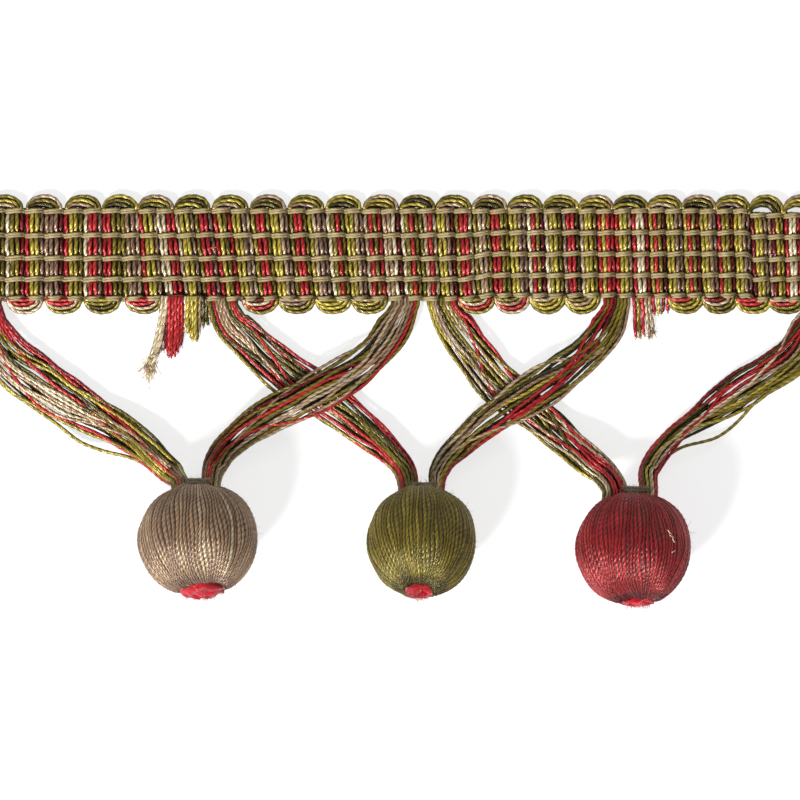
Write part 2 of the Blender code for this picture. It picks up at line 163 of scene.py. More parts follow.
# Balls
# tilt and turn are the axis's, in degrees; plug is the lower hole's plug, bulge how far it stands out
# and pull how far the hole is drawn to the right
Ball = namedtuple("Ball", "x y equator half tilt turn plug bulge pull colour")
BALLS = {
    "ball_1": Ball(-37.6, -26.0, 11.2, 10.6, 13, 0, 4.2, 1.1, 1.4, "beige"),
    "ball_2": Ball(4.1, -26.4, 10.2, 10.6, 24, 2, 2.6, 0.8, -0.3, "olive"),
    "ball_3": Ball(43.6, -27.65, 10.8, 10.7, 10, 3, 2.9, 0.3, 1.7, "red"),
}
FLAT_SPOT = 0.15
MOUTH_RADIUS = 3.7
PLUG_DEPTH = 2.4
BALL_YARNS = 86
YARN_COLUMNS = 5
BALL_ROWS = 96
BALL_TWIST = 2.2
YARN_LEAN = 0.22
RIDGE = 0.36

# Neck
NECK_BEND = 100
NECK_START = 0.1
NECK_END = -2.2
TIE_SPACING = 1.1
TIE_TURNS = 3
TIE_RADIUS = 1.6
TIE_THREAD = 0.24

# Cut tufts: each yarn's colour, where it leaves the heading, where it ends (picture points), how far
# its end frays and how high it lies over the others
TUFTS = {
    "tuft_left": (
        ("b", 163, 148, 364, 2.2, 0.0), ("c", 165, 151, 369, 2.2, 0.2), ("b", 166, 154, 362, 2.2, 0.0),
        ("c", 163, 151, 356, 2.2, 0.4), ("c", 167, 157, 352, 1.8, 0.3), ("u", 168, 160, 346, 1.5, 0.0),
        ("m", 168, 165, 349, 0.5, 0.0), ("r", 170, 168, 354, 0.5, 0.0), ("r", 173, 171, 356, 0.5, 0.0),
        ("r", 176, 175, 355, 0.5, 0.0), ("r", 179, 178, 352, 0.5, 0.0), ("m", 182, 182, 345, 0.5, 0.0),
        ("r", 170, 169, 351, 0.5, 0.7), ("r", 173, 172, 354, 0.5, 0.9), ("r", 176, 175, 353, 0.5, 0.9),
        ("r", 179, 178, 349, 0.5, 0.7), ("r", 182, 181, 343, 0.5, 0.5), ("c", 185, 186, 331, 0.6, 0.1),
        ("g", 188, 188, 333, 0.5, 0.5), ("o", 191, 191, 336, 0.5, 0.1), ("g", 193, 193, 340, 0.4, 0.6),
        ("o", 196, 197, 341, 0.4, 0.1), ("g", 196, 196, 340, 0.4, 0.8), ("b", 200, 199, 331, 0.6, 0.2),
        ("k", 203, 204, 326, 0.5, 0.1), ("k", 206, 208, 325, 0.5, 0.0), ("u", 209, 211, 320, 0.5, 0.2),
    ),
    "tuft_right": (
        ("r", 634, 636, 337, 0.6, 0.0), ("o", 638, 640, 336, 0.6, 0.1), ("r", 642, 644, 335, 0.6, 0.0),
        ("b", 646, 649, 334, 1.2, 0.2), ("b", 649, 653, 330, 1.4, 0.0), ("r", 653, 654, 314, 0.5, 0.0),
        ("g", 658, 659, 314, 0.5, 0.1), ("m", 663, 663, 312, 0.5, 0.0), ("r", 668, 668, 311, 0.5, 0.0),
    ),
}

# Yarn
YARN_RADIUS = 0.42
STRAND_RADIUS = 0.37
TWIST = 3.0
PLY_RELIEF = 0.2
FAMILIES = {"red": "mr", "olive": "kog", "beige": "ubc"}
FAMILY_NAMES = tuple(FAMILIES)
# The tones partly paint shade: u is beige in shade on the ribs' right sides, k is near-black for the dark gaps between
# strands
TONES = {"m": 0.12, "r": 0.62, "k": 0.08, "o": 0.48, "g": 0.85, "u": 0.22, "b": 0.58, "c": 0.92}
SEED = 5


def picture_to_mm(x, y):
    return (x - PICTURE / 2) * POINT, (PICTURE / 2 - y) * POINT


def family(letter):
    """The number of the yarn's material, red 0, olive 1, beige 2."""
    return next(n for n, name in enumerate(FAMILY_NAMES) if letter in FAMILIES[name])


def unit(vectors):
    return vectors / np.maximum(np.linalg.norm(vectors, axis=-1, keepdims=True), 1e-9)


def smoothstep(values, low, high):
    share = np.clip((values - low) / (high - low), 0.0, 1.0)
    return share * share * (3 - 2 * share)


def along_path(path):
    steps = np.linalg.norm(np.diff(path, axis=0), axis=1)
    return np.concatenate(([0.0], np.cumsum(steps)))


# Materials

def linear(colour):
    return tuple(((c + 0.055) / 1.055) ** 2.4 if c > 0.04 else c / 12.92 for c in colour) + (1.0,)


def new_material(name):
    material = bpy.data.materials.new(name)
    material.use_nodes = True
    tree = material.node_tree
    return material, tree, tree.nodes["Principled BSDF"]


def feed(tree, socket, value):
    if isinstance(value, bpy.types.NodeSocket):
        tree.links.new(value, socket)
    else:
        socket.default_value = value


def maths(tree, operation, *values):
    node = tree.nodes.new("ShaderNodeMath")
    node.operation = operation
    for socket, value in zip(node.inputs, values):
        feed(tree, socket, value)
    return node.outputs[0]


def spread(tree, value, low, high, to_low, to_high):
    node = tree.nodes.new("ShaderNodeMapRange")
    for socket, given in zip(node.inputs, (value, low, high, to_low, to_high)):
        feed(tree, socket, given)
    return node.outputs[0]


def noise(tree, vector, scale, detail):
    node = tree.nodes.new("ShaderNodeTexNoise")
    feed(tree, node.inputs["Vector"], vector)
    node.inputs["Scale"].default_value = scale
    node.inputs["Detail"].default_value = detail
    return node.outputs["Fac"]


def ramp(tree, value, stops):
    node = tree.nodes.new("ShaderNodeValToRGB")
    elements = node.color_ramp.elements
    while len(elements) < len(stops):
        elements.new(0.5)
    for element, (place, colour) in zip(elements, stops):
        element.position = place
        element.color = linear(colour)
    feed(tree, node.inputs[0], value)
    return node.outputs["Color"]


def mix(tree, blend, share, first, second):
    node = tree.nodes.new("ShaderNodeMix")
    node.data_type = "RGBA"
    node.blend_type = blend
    feed(tree, node.inputs["Factor"], share)
    feed(tree, node.inputs[6], first)
    feed(tree, node.inputs[7], second)
    return node.outputs[2]


def grey(tree, value):
    node = tree.nodes.new("ShaderNodeCombineColor")
    for socket in node.inputs:
        feed(tree, socket, value)
    return node.outputs[0]


def bump(tree, height, distance, strength=1.0):
    node = tree.nodes.new("ShaderNodeBump")
    node.inputs["Strength"].default_value = strength
    node.inputs["Distance"].default_value = distance
    feed(tree, node.inputs["Height"], height)
    return node.outputs["Normal"]


def yarn_material(name, dark, middle, light, shadow, glint, gloss=0.33, ior=1.9, metal=0.3):
    """Plied yarn: two plies turn about each other, each of fine fibres that follow it."""
    material, tree, shader = new_material(name)
    place = tree.nodes.new("ShaderNodeUVMap")
    place.uv_map = "yarn"
    split = tree.nodes.new("ShaderNodeSeparateXYZ")
    feed(tree, split.inputs[0], place.outputs[0])
    along, around = split.outputs[0], split.outputs[1]
    tone = tree.nodes.new("ShaderNodeAttribute")
    tone.attribute_name = "tone"
    tone = tone.outputs["Fac"]
    ply = maths(tree, "MULTIPLY_ADD", along, 2.0 / TWIST, maths(tree, "MULTIPLY", around, 2.0))
    crown = maths(tree, "MULTIPLY", maths(tree, "PINGPONG", ply, 0.5), 2.0)
    fibres = tree.nodes.new("ShaderNodeCombineXYZ")
    feed(tree, fibres.inputs[0], maths(tree, "MULTIPLY_ADD", along, 1.6, maths(tree, "MULTIPLY", around, 19.0)))
    feed(tree, fibres.inputs[1], maths(tree, "MULTIPLY", along, 0.7))
    feed(tree, fibres.inputs[2], maths(tree, "MULTIPLY", tone, 43.0))
    streaks = noise(tree, fibres.outputs[0], 1.0, 2.0)
    spot = tree.nodes.new("ShaderNodeTexCoord")
    patches = noise(tree, spot.outputs["Object"], 420.0, 1.0)
    shift = maths(tree, "MULTIPLY_ADD", patches, 0.5, maths(tree, "MULTIPLY_ADD", streaks, 0.9, -0.72))
    level = maths(tree, "ADD", tone, shift)
    colour = ramp(tree, level, ((0.0, dark), (0.5, middle), (1.0, light)))
    groove_shade = spread(tree, crown, 0.0, 0.5, 0.35, 1.0)
    # Painted shade: the colour is darkened towards the shadow colour in the ply grooves, and at the sides of a yarn,
    # where light reaches it less because it lies against the next one
    beside = maths(tree, "ABSOLUTE", maths(tree, "SINE", maths(tree, "MULTIPLY", around, 2 * math.pi)))
    beside = spread(tree, beside, 0.1, 0.8, 0.0, 1.0)
    colour = mix(tree, "MIX", maths(tree, "MULTIPLY", groove_shade, beside), linear(shadow), colour)
    feed(tree, shader.inputs["Base Color"], colour)
    feed(tree, shader.inputs["Roughness"], spread(tree, streaks, 0.3, 0.7, gloss - 0.07, gloss + 0.1))
    shader.inputs["Specular Tint"].default_value = (*glint, 1.0)
    shader.inputs["IOR"].default_value = ior
    shader.inputs["Metallic"].default_value = metal
    height = maths(tree, "MULTIPLY_ADD", streaks, 0.9, maths(tree, "MULTIPLY", maths(tree, "POWER", crown, 0.6), 0.6))
    feed(tree, shader.inputs["Normal"], bump(tree, height, 0.00012))
    return material


def felt_material(name, dark, middle, light, grain):
    """Matted fibres, with no shine."""
    material, tree, shader = new_material(name)
    spot = tree.nodes.new("ShaderNodeTexCoord").outputs["Object"]
    stretch = tree.nodes.new("ShaderNodeMapping")
    stretch.inputs["Scale"].default_value = (1.0, 2.2, 1.4)
    stretch.inputs["Rotation"].default_value = (0.3, 0.5, 0.7)
    feed(tree, stretch.inputs["Vector"], spot)
    fibres = noise(tree, stretch.outputs[0], grain, 3.0)
    lumps = noise(tree, spot, 350.0, 1.0)
    level = maths(tree, "MULTIPLY_ADD", fibres, 0.7, maths(tree, "MULTIPLY_ADD", lumps, 0.6, -0.15))
    colour = ramp(tree, level, ((0.15, dark), (0.5, middle), (0.9, light)))
    feed(tree, shader.inputs["Base Color"], colour)
    shader.inputs["Roughness"].default_value = 0.85
    shader.inputs["Sheen Weight"].default_value = 0.35
    shader.inputs["Specular IOR Level"].default_value = 0.2
    feed(tree, shader.inputs["Normal"], bump(tree, fibres, 0.00015))
    return material


YARNS = {
    "red": yarn_material(
        "yarn_red", (0.24, 0.02, 0.05), (0.66, 0.09, 0.13), (0.88, 0.24, 0.24), (0.10, 0.0, 0.02), (1.0, 0.55, 0.5)
    ),
    "olive": yarn_material(
        "yarn_olive", (0.10, 0.07, 0.02), (0.50, 0.43, 0.13), (0.77, 0.69, 0.27), (0.06, 0.04, 0.01), (1.0, 0.92, 0.5)
    ),
    "beige": yarn_material(
        "yarn_beige", (0.47, 0.34, 0.29), (0.66, 0.53, 0.40), (0.92, 0.85, 0.70), (0.14, 0.08, 0.05), (1.0, 0.94, 0.8)
    ),
}
YARN_SET = tuple(YARNS[name] for name in FAMILY_NAMES)
KHAKI = yarn_material(
    "warp_khaki", (0.56, 0.50, 0.35), (0.69, 0.62, 0.45), (0.78, 0.72, 0.56), (0.50, 0.44, 0.30), (1.0, 1.0, 1.0), 0.8, 1.35, 0.0
)
# Dark brown yarn laid in the grooves between the ribs and under the rib yarns: painted shade
GROOVE_SHADE_YARN = yarn_material(
    "yarn_shaded", (0.12, 0.08, 0.05), (0.26, 0.20, 0.12), (0.38, 0.30, 0.18), (0.06, 0.04, 0.02), (1.0, 1.0, 1.0), 0.7, 1.35, 0.0
)
CRIMSON = felt_material("plug_crimson", (0.36, 0.0, 0.04), (0.66, 0.01, 0.10), (0.82, 0.05, 0.16), 2600.0)
BINDING = felt_material("neck_binding", (0.40, 0.36, 0.27), (0.62, 0.57, 0.46), (0.80, 0.76, 0.66), 2600.0)


# Meshes

class Piece:
    """One mesh, joined from many grids of points, each with its own yarn coordinates and tone."""

    def __init__(self, name, slot, replaces, materials):
        self.name, self.slot, self.replaces, self.materials = name, slot, replaces, materials
        self.points, self.tones, self.quads, self.quad_places, self.quad_materials = [], [], [], [], []
        self.fans, self.fan_places, self.fan_materials = [], [], []
        self.count = 0

    def grid(self, points, along, around, closed, material=0, tone=0.5):
        """Faces over a grid of points, rows along the yarn and columns around it."""
        rows, columns = points.shape[:2]
        index = self.count + np.arange(rows * columns).reshape(rows, columns)
        wrapped = np.concatenate([index, index[:, :1]], axis=1) if closed else index
        a, b = wrapped[:-1, :-1], wrapped[1:, :-1]
        c, d = wrapped[1:, 1:], wrapped[:-1, 1:]
        self.quads.append(np.stack([a, b, c, d], axis=-1).reshape(-1, 4))
        u = np.broadcast_to(np.asarray(along, float).reshape(rows, -1), wrapped.shape)
        v = np.broadcast_to(np.asarray(around, float), wrapped.shape)
        place = np.stack([u, v], axis=-1)
        corners = [place[:-1, :-1], place[1:, :-1], place[1:, 1:], place[:-1, 1:]]
        self.quad_places.append(np.stack(corners, axis=2).reshape(-1, 4, 2))
        self.quad_materials.append(np.full(len(self.quads[-1]), material))
        self.points.append(points.reshape(-1, 3))
        tones = np.broadcast_to(np.asarray(tone, float).reshape(-1, 1) if np.ndim(tone) == 1 else tone, (rows, columns))
        self.tones.append(tones.reshape(-1))
        self.count += rows * columns
        return index

    def cap(self, ring, points, flip, material, tone, place):
        """Closes a ring with triangles round its middle."""
        centre = self.count
        self.points.append(points.mean(axis=0)[None])
        self.tones.append(np.array([tone]))
        self.count += 1
        following = np.roll(ring, -1)
        pair = (following, ring) if flip else (ring, following)
        self.fans.append(np.stack([np.full(len(ring), centre), *pair], axis=-1))
        self.fan_places.append(np.tile(np.array(place, float), (len(ring), 3, 1)))
        self.fan_materials.append(np.full(len(ring), material))

    def tube(self, path, radius, material=0, tone=0.5, sides=8, relief=PLY_RELIEF, phase=0.0, flat=1.0, wall=None):
        """A yarn along a path. flat squeezes it towards the surface that it lies on."""
        path = np.asarray(path, float)
        along = along_path(path) + phase
        forward = unit(np.gradient(path, axis=0))
        upward = np.array([0.0, 0.0, 1.0]) if wall is None else np.asarray(wall, float)
        side = unit(np.cross(forward, upward))
        up = np.cross(side, forward)
        share = np.arange(sides) / sides
        turn = 2 * np.pi * share
        ply = 2 * share[None] + 2 * along[:, None] / TWIST
        crown = 1 - np.abs(ply % 1 - 0.5) * 2
        size = np.reshape(radius, (-1, 1)) * (1 - relief * (1 - crown) ** 1.5)
        points = path[:, None] + side[:, None] * (size * np.cos(turn))[..., None]
        points = points + up[:, None] * (flat * size * np.sin(turn))[..., None]
        around = np.arange(sides + 1) / sides if relief else np.full(sides + 1, 0.25)
        index = self.grid(points, along, around, True, material, tone)
        tones = np.broadcast_to(tone, (len(path),))
        self.cap(index[0], points[0], False, material, tones[0], (along[0], 0.25))
        self.cap(index[-1], points[-1], True, material, tones[-1], (along[-1], 0.25))

    def finish(self):
        points = np.concatenate(self.points) * METRES
        quads, fans = np.concatenate(self.quads), np.concatenate([np.zeros((0, 3), int), *self.fans])
        mesh = bpy.data.meshes.new(self.name)
        mesh.vertices.add(len(points))
        mesh.vertices.foreach_set("co", points.astype(np.float32).ravel())
        corners = np.concatenate([quads.ravel(), fans.ravel()])
        mesh.loops.add(len(corners))
        mesh.loops.foreach_set("vertex_index", corners.astype(np.int32))
        sizes = np.concatenate([np.full(len(quads), 4), np.full(len(fans), 3)])
        mesh.polygons.add(len(sizes))
        mesh.polygons.foreach_set("loop_start", (np.cumsum(sizes) - sizes).astype(np.int32))
        materials = np.concatenate([*self.quad_materials, *self.fan_materials])
        mesh.polygons.foreach_set("material_index", materials.astype(np.int32))
        mesh.polygons.foreach_set("use_smooth", np.ones(len(sizes), bool))
        mesh.update(calc_edges=True)
        places = np.concatenate([np.concatenate(self.quad_places).reshape(-1, 2), *[p.reshape(-1, 2) for p in self.fan_places]])
        mesh.uv_layers.new(name="yarn").data.foreach_set("uv", places.astype(np.float32).ravel())
        tone = mesh.attributes.new("tone", "FLOAT", "POINT")
        tone.data.foreach_set("value", np.concatenate(self.tones).astype(np.float32))
        for material in self.materials:
            mesh.materials.append(material)
        made = bpy.data.objects.new(self.name, mesh)
        bpy.context.collection.objects.link(made)
        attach(made, "root")
        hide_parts(*self.replaces)
        return made


random = np.random.default_rng(SEED)


def sway(distance, size, length):
    """A slow irregular wander along a yarn."""
    start = random.uniform(0, 2 * np.pi, 3)
    waves = zip((1.0, 0.55, 0.31), (0.6, 0.3, 0.2), start)
    return size * sum(part * np.sin(2 * np.pi * distance / (length * wave) + s) for wave, part, s in waves)


def fuzz(piece, points, outward, count, length, thickness, material, tone):
    """Loose fibres that stand off a surface."""
    picked = random.integers(0, len(points), count)
    for start, away in zip(points[picked], outward[picked]):
        bend = random.normal(0, 0.8, 3)
        reach = length * random.uniform(0.4, 1.3)
        steps = np.linspace(0, 1, 4)[:, None]
        path = start + away * reach * steps * 0.55 + bend * reach * 0.55 * steps**1.6
        path[:, 2] = np.maximum(path[:, 2], 0.06)
        piece.tube(path, thickness, material, tone, sides=3, relief=0.0)


# Heading

def rib_x(along):
    pitch = HEADING_LENGTH / RIB_COUNT + RIB_TIGHTENING * RIB_COUNT
    return -HEADING_LENGTH / 2 + pitch * along - RIB_TIGHTENING * along**2


def lean_shift(along, y):
    ribs, degrees = zip(*LEAN)
    return np.tan(np.radians(np.interp(along, ribs, degrees))) * (LEAN_CENTRE - y)


def warp_y(number, x):
    left, middle, right = WARPS[number]
    return np.interp(x, WARP_X, (left, middle, middle, right))


def build_heading():
    weft = Piece("heading_weft", "heading_yarn", ["heading"], YARN_SET)
    inner = Piece("heading_inner", "heading_yarn", ["heading"], (GROOVE_SHADE_YARN, *YARN_SET))
    warps = Piece("heading_warps", "heading_yarn", ["heading"], (KHAKI,))
    for rib, letters in enumerate(RIBS):
        middle = rib_x(rib + 0.5)
        top, bottom = warp_y(0, middle) + 0.55, warp_y(4, middle) - 0.35
        y = np.linspace(top, bottom, 60)
        pinch = sum(np.exp(-(((y - warp_y(n, middle)) / 1.2) ** 2)) for n in range(len(WARPS)))
        pitch = rib_x(rib + 1) - rib_x(rib)
        for number, letter in enumerate(letters):
            across = (number - 1.5) / 1.5
            offset = across * (pitch / 2 - YARN_RADIUS - RIB_SPACE / 2) * (1 - 0.16 * pinch)
            x = middle + lean_shift(rib + 0.5, y) + offset + sway(y, 0.13, 9)
            z = 2.4 - RIB_DROP * across**2 - 0.75 * pinch + sway(y, 0.14, 6)
            tone = TONES[letter] + random.normal(0, 0.07)
            size = 1.12 * YARN_RADIUS * random.uniform(0.94, 1.1) * (1 - 0.14 * pinch)
            weft.tube(np.stack([x, y, z], axis=1), size, family(letter), tone, sides=6, phase=random.uniform(0, TWIST))
        back = np.linspace(top, bottom, 18)
        for number in (0, 1):
            x = middle + lean_shift(rib + 0.5, back) + (number - 0.5) * pitch * 0.5
            path = np.stack([x, back, np.full_like(back, 0.72) + sway(back, 0.05, 7)], axis=1)
            inner.tube(path, 0.66, 1 + family(letters[number * 3]), TONES[letters[number * 3]], sides=7)
        # Dark yarns in the groove beside the rib and under its yarns: painted shade
        x = rib_x(rib + 1.0) + lean_shift(rib + 1.0, back)
        if rib < RIB_COUNT - 1:
            inner.tube(np.stack([x, back, np.full_like(back, 0.6)], axis=1), 0.5, 0, 0.4, sides=6)
        inner.tube(np.stack([x - pitch / 2, back, np.full_like(back, 1.25)], axis=1), 0.75, 0, 0.3, sides=6)
    loops = Piece("heading_loops", "heading_yarn", ["heading"], YARN_SET)
    build_loops(loops)
    build_warps(warps)
    # A short thread that floats over the ribs
    x, y = picture_to_mm(213, 248)
    reach = np.linspace(-1.0, 1.0, 9)
    float_path = np.stack([x + reach, y + 0.15 * reach, 2.95 + 0.25 * (1 - reach**2)], axis=1)
    weft.tube(float_path, 0.16, 0, 0.95, sides=5)
    for piece in (weft, inner, loops, warps):
        piece.finish()


def loop_path(centre, base, half_width, depth, low, high, steps=22):
    turn = np.linspace(0, np.pi, steps)
    x = centre - half_width * np.cos(turn)
    y = base + depth * np.sin(turn) ** 0.85
    return np.stack([x, y, low + (high - low) * (1 - np.sin(turn))], axis=1)


def build_loops(piece):
    """The weft turns back in nested loops: over pairs of ribs below and over the pairs between above."""
    loops = iter(BOTTOM_LOOPS)
    for pair, kind in enumerate(PAIRS):
        if kind != "L":
            continue
        middle = rib_x(2 * pair + 1)
        base = warp_y(4, middle) - 0.1
        centre = middle + lean_shift(2 * pair + 1, base - 1)
        deepest = base - (EDGE_BOTTOM - BOTTOM_LOOP) - YARN_RADIUS
        for number, letter in enumerate(next(loops)):
            path = loop_path(centre - 0.36 * number, base, 3.15 - 0.36 * number, -max(deepest - 0.76 * number, 0.1), 0.95 + 0.3 * number, 1.7)
            path += sway(np.arange(len(path)), 0.06, 14)[:, None]
            tone = TONES[letter] + random.normal(0, 0.08)
            piece.tube(path, YARN_RADIUS, family(letter), tone, sides=6, phase=random.uniform(0, TWIST))
            # A lower copy of the yarn under the loop, a shade darker: painted shade
            piece.tube(path * (1, 1, 0) + (0, 0.2, 0.5), YARN_RADIUS, family(letter), tone - 0.2, sides=5)
    for number in range(1, RIB_COUNT - 2, 2):
        middle = rib_x(number + 1)
        base = warp_y(0, middle) + 0.3
        centre = middle + lean_shift(number + 1, base)
        highest = EDGE_TOP + TOP_LOOP - YARN_RADIUS - base
        for ring, letter in enumerate(TOP_LOOPS[number // 2 % len(TOP_LOOPS)]):
            path = loop_path(centre - 0.36 * ring, base, 3.05 - 0.36 * ring, max(highest - 0.76 * ring, 0.1), 0.95 + 0.3 * ring, 1.7)
            path += sway(np.arange(len(path)), 0.06, 14)[:, None]
            tone = TONES[letter] + random.normal(0, 0.08)
            piece.tube(path, YARN_RADIUS, family(letter), tone, sides=6, phase=random.uniform(0, TWIST))
            # A lower copy of the yarn under the loop, a shade darker: painted shade
            piece.tube(path * (1, 1, 0) + (0, -0.2, 0.5), YARN_RADIUS, family(letter), tone - 0.2, sides=5)


def build_warps(warps):
    steps = 8
    along = np.linspace(0, RIB_COUNT, RIB_COUNT * steps + 1)
    share = along % 1
    for number in range(len(WARPS)):
        x = rib_x(along)
        y = warp_y(number, x)
        x = x + lean_shift(along, y)
        dash = y + 0.3 * (share - 0.5) + sway(along, 0.08, 6)
        over = 0.75 + 1.62 * np.sin(np.pi * np.clip((share - 0.06) / 0.88, 0, 1)) ** 0.8
        for thread in (-1, 1):
            beside = dash + thread * (WARP_THREAD - 0.08) + sway(along, 0.04, 1.7)
            height = over + sway(along, 0.05, 1.3)
            path = np.stack([x, beside, height], axis=1)
            warps.tube(path, WARP_THREAD, 0, 0.5 + sway(along, 0.2, 5), sides=7, relief=0.05, flat=0.85)
            raised = path[height > 2.0]
            fuzz(warps, raised, np.tile((0.0, 0.5 * thread, 0.6), (len(raised), 1)), 70, 0.5, 0.03, 0, 0.7)
        under = 0.42 - 0.1 * np.cos(2 * np.pi * share)
        warps.tube(np.stack([x, y, under], axis=1), 0.42, 0, 0.4, sides=6, relief=0.1, flat=0.7)


# Balls

def ball_placing(ball):
    tilt = math.radians(ball.tilt)
    reach = math.hypot(ball.half * math.sin(tilt), ball.equator * math.cos(tilt))
    centre = Vector((ball.x, ball.y, reach - FLAT_SPOT))
    mouth = Matrix.Rotation(-math.pi / 2 - tilt, 4, "X")
    turn = Matrix.Rotation(-math.radians(ball.turn), 4, "Z")
    return np.array(Matrix.Translation(centre) @ turn @ mouth)


def placed(ball, points):
    matrix = ball_placing(ball)
    return points @ matrix[:3, :3].T + matrix[:3, 3]


def skewed(ball, local):
    """The winding pulls the lower hole to one side and up."""
    low = np.clip(-local[..., 2] / ball.half, 0, 1.1)
    return local + np.stack([low**5 * ball.pull, 0 * low, 0.08 * ball.pull * local[..., 0] * low**2], axis=-1)


def surface_height(ball, radius):
    return ball.half * math.sqrt(1.0 - (radius / ball.equator) ** 2)


def wound_profile(ball):
    """Radius and height from inside the mouth, over the wound surface, into the lower hole."""
    hole = ball.plug + GAP
    start, end = math.asin(MOUTH_RADIUS / ball.equator), math.pi - math.asin(hole / ball.equator)
    mouth, rim = surface_height(ball, MOUTH_RADIUS), surface_height(ball, hole)
    angle = np.linspace(start + 0.08, end - 0.06, 80)
    radius = np.concatenate(([2.0, 2.9, 3.35], ball.equator * np.sin(angle), [hole - 0.25, hole - 0.5, hole - 0.8]))
    height = np.concatenate(([mouth - 2.0, mouth - 1.2, mouth - 0.3], ball.half * np.cos(angle), [0.2 - rim, 0.9 - rim, 2.2 - rim]))
    return np.stack([radius, height], axis=1)


def build_ball(name, ball):
    piece = Piece(name + "_yarn", "yarn_" + ball.colour, [name], (YARNS[ball.colour],))
    profile = wound_profile(ball)
    along = along_path(profile)
    rows = np.linspace(0, along[-1], BALL_ROWS)
    radius, height = (np.interp(rows, along, profile[:, n]) for n in (0, 1))
    slope = unit(np.stack([np.gradient(radius), np.gradient(height)], axis=1))
    widths = random.uniform(0.78, 1.22, BALL_YARNS)
    edges = 2 * np.pi * np.concatenate(([0.0], np.cumsum(widths))) / widths.sum()
    share = np.arange(YARN_COLUMNS) / YARN_COLUMNS
    turn = (edges[:-1, None] + np.diff(edges)[:, None] * share).ravel()
    across = np.tile(share, BALL_YARNS)
    yarn = np.repeat(np.arange(BALL_YARNS), YARN_COLUMNS)
    crest = np.sqrt(np.maximum(1 - (2 * across - 1) ** 2, 0))
    width = 2 * np.pi * radius / BALL_YARNS
    start = random.uniform(0, BALL_TWIST, BALL_YARNS)[yarn]
    ply = across + 2 * (rows[:, None] + start) / BALL_TWIST
    crown = 1 - np.abs(ply % 1 - 0.5) * 2
    sunk = random.normal(0, 0.05, BALL_YARNS)[yarn] - (yarn % 2) * 0.12 * smoothstep(0.55 - width, 0.0, 0.25)[:, None]
    relief = RIDGE * np.maximum(width, 0.34)[:, None] * (crest - 1) + 0.12 * crest * (crown - 0.5) + sunk
    drift = YARN_LEAN * (rows / along[-1] - 0.5)[:, None]
    wave = 0.02 * np.sin(rows[:, None] / 3.1 + 5 * turn) + 0.015 * np.sin(rows[:, None] / 1.7 + 13 * turn)
    azimuth = turn + drift + wave
    lumps = 0.1 * np.sin(3 * azimuth + rows[:, None] / 3.3) + 0.1 * np.sin(7 * azimuth - rows[:, None] / 2.1)
    out = radius[:, None] - slope[:, 1:] * (relief + lumps)
    rise = height[:, None] + slope[:, :1] * (relief + lumps)
    local = np.stack([out * np.cos(azimuth), out * np.sin(azimuth), rise * np.ones_like(azimuth)], axis=-1)
    points = placed(ball, skewed(ball, local))
    points[..., 2] = np.maximum(points[..., 2], 0.02)
    tone = 0.40 + random.normal(0, 0.10, BALL_YARNS)[yarn] + 0 * azimuth
    # Painted shade: the yarns are darker where they turn into the lower hole and inside the mouth
    tone = tone - 0.3 * smoothstep(rows, along[-1] - 5.5, along[-1] - 4.0)[:, None]
    tone = tone - 0.4 * (1 - smoothstep(rows, 1.6, 4.0))[:, None]
    around = np.concatenate([across, [1.0]]) / 2
    piece.grid(points, rows, around, True, 0, tone)
    # Each yarn's last column of faces runs on to its far side, and each yarn's twist starts elsewhere
    places = piece.quad_places[-1].reshape(BALL_ROWS - 1, -1, 4, 2)
    places[:, YARN_COLUMNS - 1::YARN_COLUMNS, 2:, 1] = 0.5
    places[..., 0] = (places[..., 0] + start[:, None]) * TWIST / BALL_TWIST
    outward = unit(points - np.array(ball_placing(ball)[:3, 3])).reshape(-1, 3)
    fuzz(piece, points.reshape(-1, 3), outward, 420, 0.9, 0.025, 0, 0.75)
    piece.finish()


def build_plug(name, ball):
    """A wad of yarn ends, lumpy and matted, that bulges out of the lower hole."""
    piece = Piece(name + "_felt", "plug_crimson", [name], (CRIMSON,))
    rim = surface_height(ball, ball.plug + GAP)
    rows, columns = 30, 56
    reach = np.linspace(0.02, 1.0, rows)[:, None]
    turn = np.linspace(0, 2 * np.pi, columns, endpoint=False)[None]
    radius = ball.plug * np.minimum(1.0, reach * 1.35) * np.ones_like(turn)
    height = -rim - ball.bulge * np.sqrt(np.maximum(1 - np.minimum(reach * 1.35, 1) ** 2, 0)) + np.maximum(reach - 0.74, 0) * 8
    lumps = sum(
        size * np.sin(count * turn + shift + 3 * reach * ball.plug) * np.sin(2.3 * count * reach + shift)
        for count, size, shift in ((2, 0.3, 0.4), (3, 0.28, 2.1), (5, 0.2, 4.0), (9, 0.1, 1.3), (15, 0.05, 3.0))
    )
    height = height - lumps * np.minimum(reach * 3, 1)
    local = np.stack([radius * np.cos(turn), -radius * np.sin(turn), height], axis=-1)
    points = placed(ball, skewed(ball, local))
    points[..., 2] = np.maximum(points[..., 2], 0.03)
    index = piece.grid(points, reach[:, 0], np.arange(columns + 1) / columns, True)
    piece.cap(index[0], points[0], False, 0, 0.5, (0, 0))
    piece.cap(index[-1], points[-1], True, 0, 0.5, (0, 0))
    front = points[:20].reshape(-1, 3)
    away = placed(ball, np.array([[0.0, 0.0, -1.0]]))[0] - placed(ball, np.zeros((1, 3)))[0]
    fuzz(piece, front, np.tile(away, (len(front), 1)), 160, 0.8, 0.03, 0, 0.5)
    piece.finish()


# Neck

